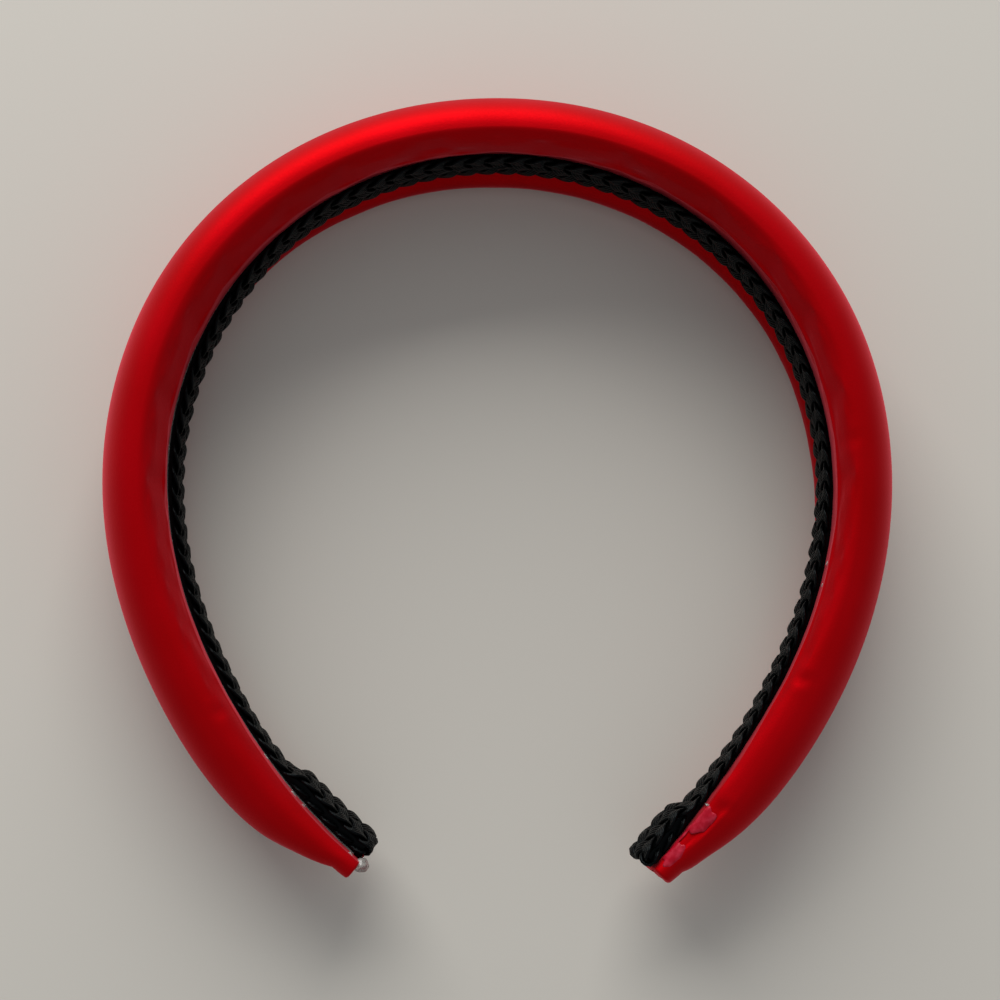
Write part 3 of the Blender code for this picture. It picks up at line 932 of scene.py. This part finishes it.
def braid_material():
    """Black rayon cord: twisted plies, slightly shiny."""
    material, tree, shader = new_material("braid")
    shader.inputs["Specular IOR Level"].default_value = 0.07
    shader.inputs["Specular Tint"].default_value = (0.8, 0.95, 1.0, 1)
    plies = node(tree, "ShaderNodeTexWave", Scale=0.5, Distortion=1.5, bands_direction="DIAGONAL")
    plies.inputs["Detail"].default_value = 1.0
    tree.links.new(along_across(tree, (1400.0, 2.0, 1.0)), plies.inputs["Vector"])
    fibres = object_noise(tree, 3200.0, 2.0)
    vary_color(tree, shader, fibres,
               (0.35, (0.0003, 0.0004, 0.0005, 1)), (0.75, (0.0018, 0.002, 0.0024, 1)))
    first = add_bump(tree, None, plies.outputs["Fac"], 0.5, 0.06 * MM)
    add_bump(tree, shader, fibres, 0.3, 0.05 * MM, before=first)
    vary_roughness(tree, shader, fibres, 0.26, 0.42)
    return material


def foam_material():
    """Cream open-cell foam, with painted shade in the pits of its cells."""
    material, tree, shader = new_material("foam")
    shader.inputs["Roughness"].default_value = 0.95
    coordinates = node(tree, "ShaderNodeTexCoord")
    cells = node(tree, "ShaderNodeTexVoronoi", Scale=1500.0)
    tree.links.new(coordinates.outputs["Object"], cells.inputs["Vector"])
    distance = cells.outputs["Distance"]
    # The base colour runs darker towards the pits of the cells, where the bump is lowest: painted shade in
    # the pores.
    vary_color(tree, shader, distance, (0.0, (0.55, 0.52, 0.42, 1)), (0.6, (0.84, 0.81, 0.72, 1)))
    add_bump(tree, shader, distance, 0.6, 0.2 * MM)
    return material


def core_material():
    """White moulded plastic strip."""
    material, tree, shader = new_material("core_plastic")
    cloud = object_noise(tree, 160.0, 3.0)
    vary_color(tree, shader, cloud, (0.3, (0.76, 0.76, 0.74, 1)), (0.7, (0.84, 0.84, 0.82, 1)))
    vary_roughness(tree, shader, cloud, 0.35, 0.5)
    add_bump(tree, shader, cloud, 0.1, 0.1 * MM)
    return material


def glue_film_material():
    """Satin seen through a thin film of dried glue: paler, in soft blotches, and glossy."""
    material, tree, shader = new_material("glue_film")
    shader.inputs["Specular IOR Level"].default_value = 0.25
    shader.inputs["Specular Tint"].default_value = (1.0, 0.55, 0.62, 1)
    blotches = object_noise(tree, 700.0, 3.0)
    vary_color(tree, shader, blotches, (0.42, (0.34, 0.003, 0.014, 1)), (0.75, (0.48, 0.024, 0.05, 1)))
    vary_roughness(tree, shader, blotches, 0.22, 0.45)
    add_bump(tree, shader, blotches, 0.3, 0.1 * MM)
    return material


def glue_material():
    """Cloudy hot-melt glue."""
    material, tree, shader = new_material("glue")
    shader.inputs["Specular IOR Level"].default_value = 0.6
    shader.inputs["IOR"].default_value = 1.48
    shader.inputs["Transmission Weight"].default_value = 0.7
    cloud = object_noise(tree, 900.0, 3.0)
    vary_color(tree, shader, cloud, (0.35, (0.42, 0.40, 0.375, 1)), (0.7, (0.64, 0.62, 0.59, 1)))
    vary_roughness(tree, shader, cloud, 0.12, 0.35)
    add_bump(tree, shader, cloud, 0.3, 0.1 * MM)
    return material


# ---------------------------------------------------------------- floor, light and camera

FLOOR_SIZE = 4
FLOOR_LOWERED = 0.2 * MM
WINDOW_PLACE = (-0.28, 1.39, 0.73)
WINDOW_SIZE = (1.6, 1.2)
WINDOW_POWER = 35
ROOM_STRENGTH = 0.40
CAMERA_LENS = 87.75
CAMERA_PLACE = (-0.0310, -0.0481, 0.4985)
CAMERA_TARGET = (-0.0002, -0.0023, 0.018)


def make_floor():
    material, _, shader = new_material("floor")
    shader.inputs["Base Color"].default_value = (0.583, 0.555, 0.50, 1)
    shader.inputs["Roughness"].default_value = 0.6
    bpy.ops.mesh.primitive_plane_add(size=FLOOR_SIZE, location=(0, 0, -FLOOR_LOWERED))
    floor = bpy.context.object
    floor.name = "floor"
    floor.data.materials.append(material)


def aim(obj, target, up=(0, 0, 1)):
    """Turn obj so that its -Z looks at target with its +Y towards up."""
    back = (obj.location - Vector(target)).normalized()
    right = Vector(up).cross(back).normalized()
    turned_up = back.cross(right)
    rotation = Matrix((right, turned_up, back)).transposed().to_4x4()
    obj.matrix_world = Matrix.Translation(obj.location) @ rotation


def make_window():
    """The soft daylight from behind the crown."""
    light = bpy.data.lights.new("window", "AREA")
    light.shape = "RECTANGLE"
    light.size, light.size_y = WINDOW_SIZE
    light.energy = WINDOW_POWER
    light.color = (1.0, 0.99, 0.97)
    window = bpy.data.objects.new("window", light)
    bpy.context.scene.collection.objects.link(window)
    window.location = WINDOW_PLACE
    aim(window, (0, 0, 0))


def make_room_light():
    world = bpy.data.worlds.new("room")
    world.use_nodes = True
    background = world.node_tree.nodes["Background"]
    background.inputs["Color"].default_value = (0.93, 0.96, 1.0, 1)
    background.inputs["Strength"].default_value = ROOM_STRENGTH
    bpy.context.scene.world = world


def make_camera():
    data = bpy.data.cameras.new("camera")
    data.sensor_width = 36
    data.lens = CAMERA_LENS
    data.clip_start = 0.01
    camera = bpy.data.objects.new("camera", data)
    bpy.context.scene.collection.objects.link(camera)
    camera.location = CAMERA_PLACE
    aim(camera, CAMERA_TARGET, up=(0, 1, 0))
    bpy.context.scene.camera = camera


# ---------------------------------------------------------------- assembly


def follow_arm(piece, label):
    """Bakes the piece's placement into its mesh; the hinge on its arm is worked out but not used."""
    side = -1 if label == "left" else 1
    hinge = place(side * HINGE_AT, CORE_INNER_FACE + CORE_THICKNESS / 2, 0)
    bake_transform(piece)


def cad_nodes(label, *kinds):
    """CAD nodes of one half. The crown's lengths are named with the left half."""
    names = [f"{kind}_{label}" for kind in kinds]
    if label == "left":
        names += [f"{kind}_crown" for kind in kinds]
    return names


def main():
    make_camera()
    make_floor()
    make_room_light()
    make_window()
    bpy.context.scene.view_settings.view_transform = "Standard"

    satin, braid, foam = satin_material(), braid_material(), foam_material()
    plastic, glue = core_material(), glue_material()

    covers = make_cover(satin)
    for side, label, cover in ((-1, "left", covers[0]), (1, "right", covers[1])):
        pad_stations = half_stations(side, FOAM_END, LAYER_STEP)
        core_stations = half_stations(side, CORE_END, LAYER_STEP)
        web_stations = half_stations(side, BRAID_END, WEB_STEP)
        pad = solid_strip(f"pad_{label}", pad_stations, foam_outline, foam, lowest=SATIN + LAYER_GAP)
        core = solid_strip(f"spring_core_{label}", core_stations, core_outline, plastic)
        bed = solid_strip(f"glue_line_{label}", core_stations, glue_outline, glue)
        lining = make_braid(side, label, braid)
        web = solid_strip(f"braid_web_{label}", web_stations, web_outline, braid)
        specks = make_patches(f"glue_specks_{label}", SPECKS[label], glue)
        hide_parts(*cad_nodes(label, "satin_cover"), f"end_tuck_{label}")
        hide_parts(*cad_nodes(label, "foam"))
        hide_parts(*cad_nodes(label, "core"))
        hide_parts(*cad_nodes(label, "glue_bed"))
        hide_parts(*cad_nodes(label, "braid"), f"braid_fold_{label}")
        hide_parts(*cad_nodes(label, "braid"), f"braid_fold_{label}")
        for piece, slot in ((cover, "satin"), (pad, "foam"), (core, "core_plastic"), (bed, "glue"),
                            (lining, "braid"), (web, "braid"), (specks, "glue")):
            follow_arm(piece, label)
    bead = make_bead("tip_glue_left", "glue_bead_left", glue)
    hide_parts("tip_glue_left")
    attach(bead, "left_arm")
    film = make_patches("glue_film_right", FILMS, glue_film_material())
    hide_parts("tip_glue_right")
    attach(film, "right_arm")


main()
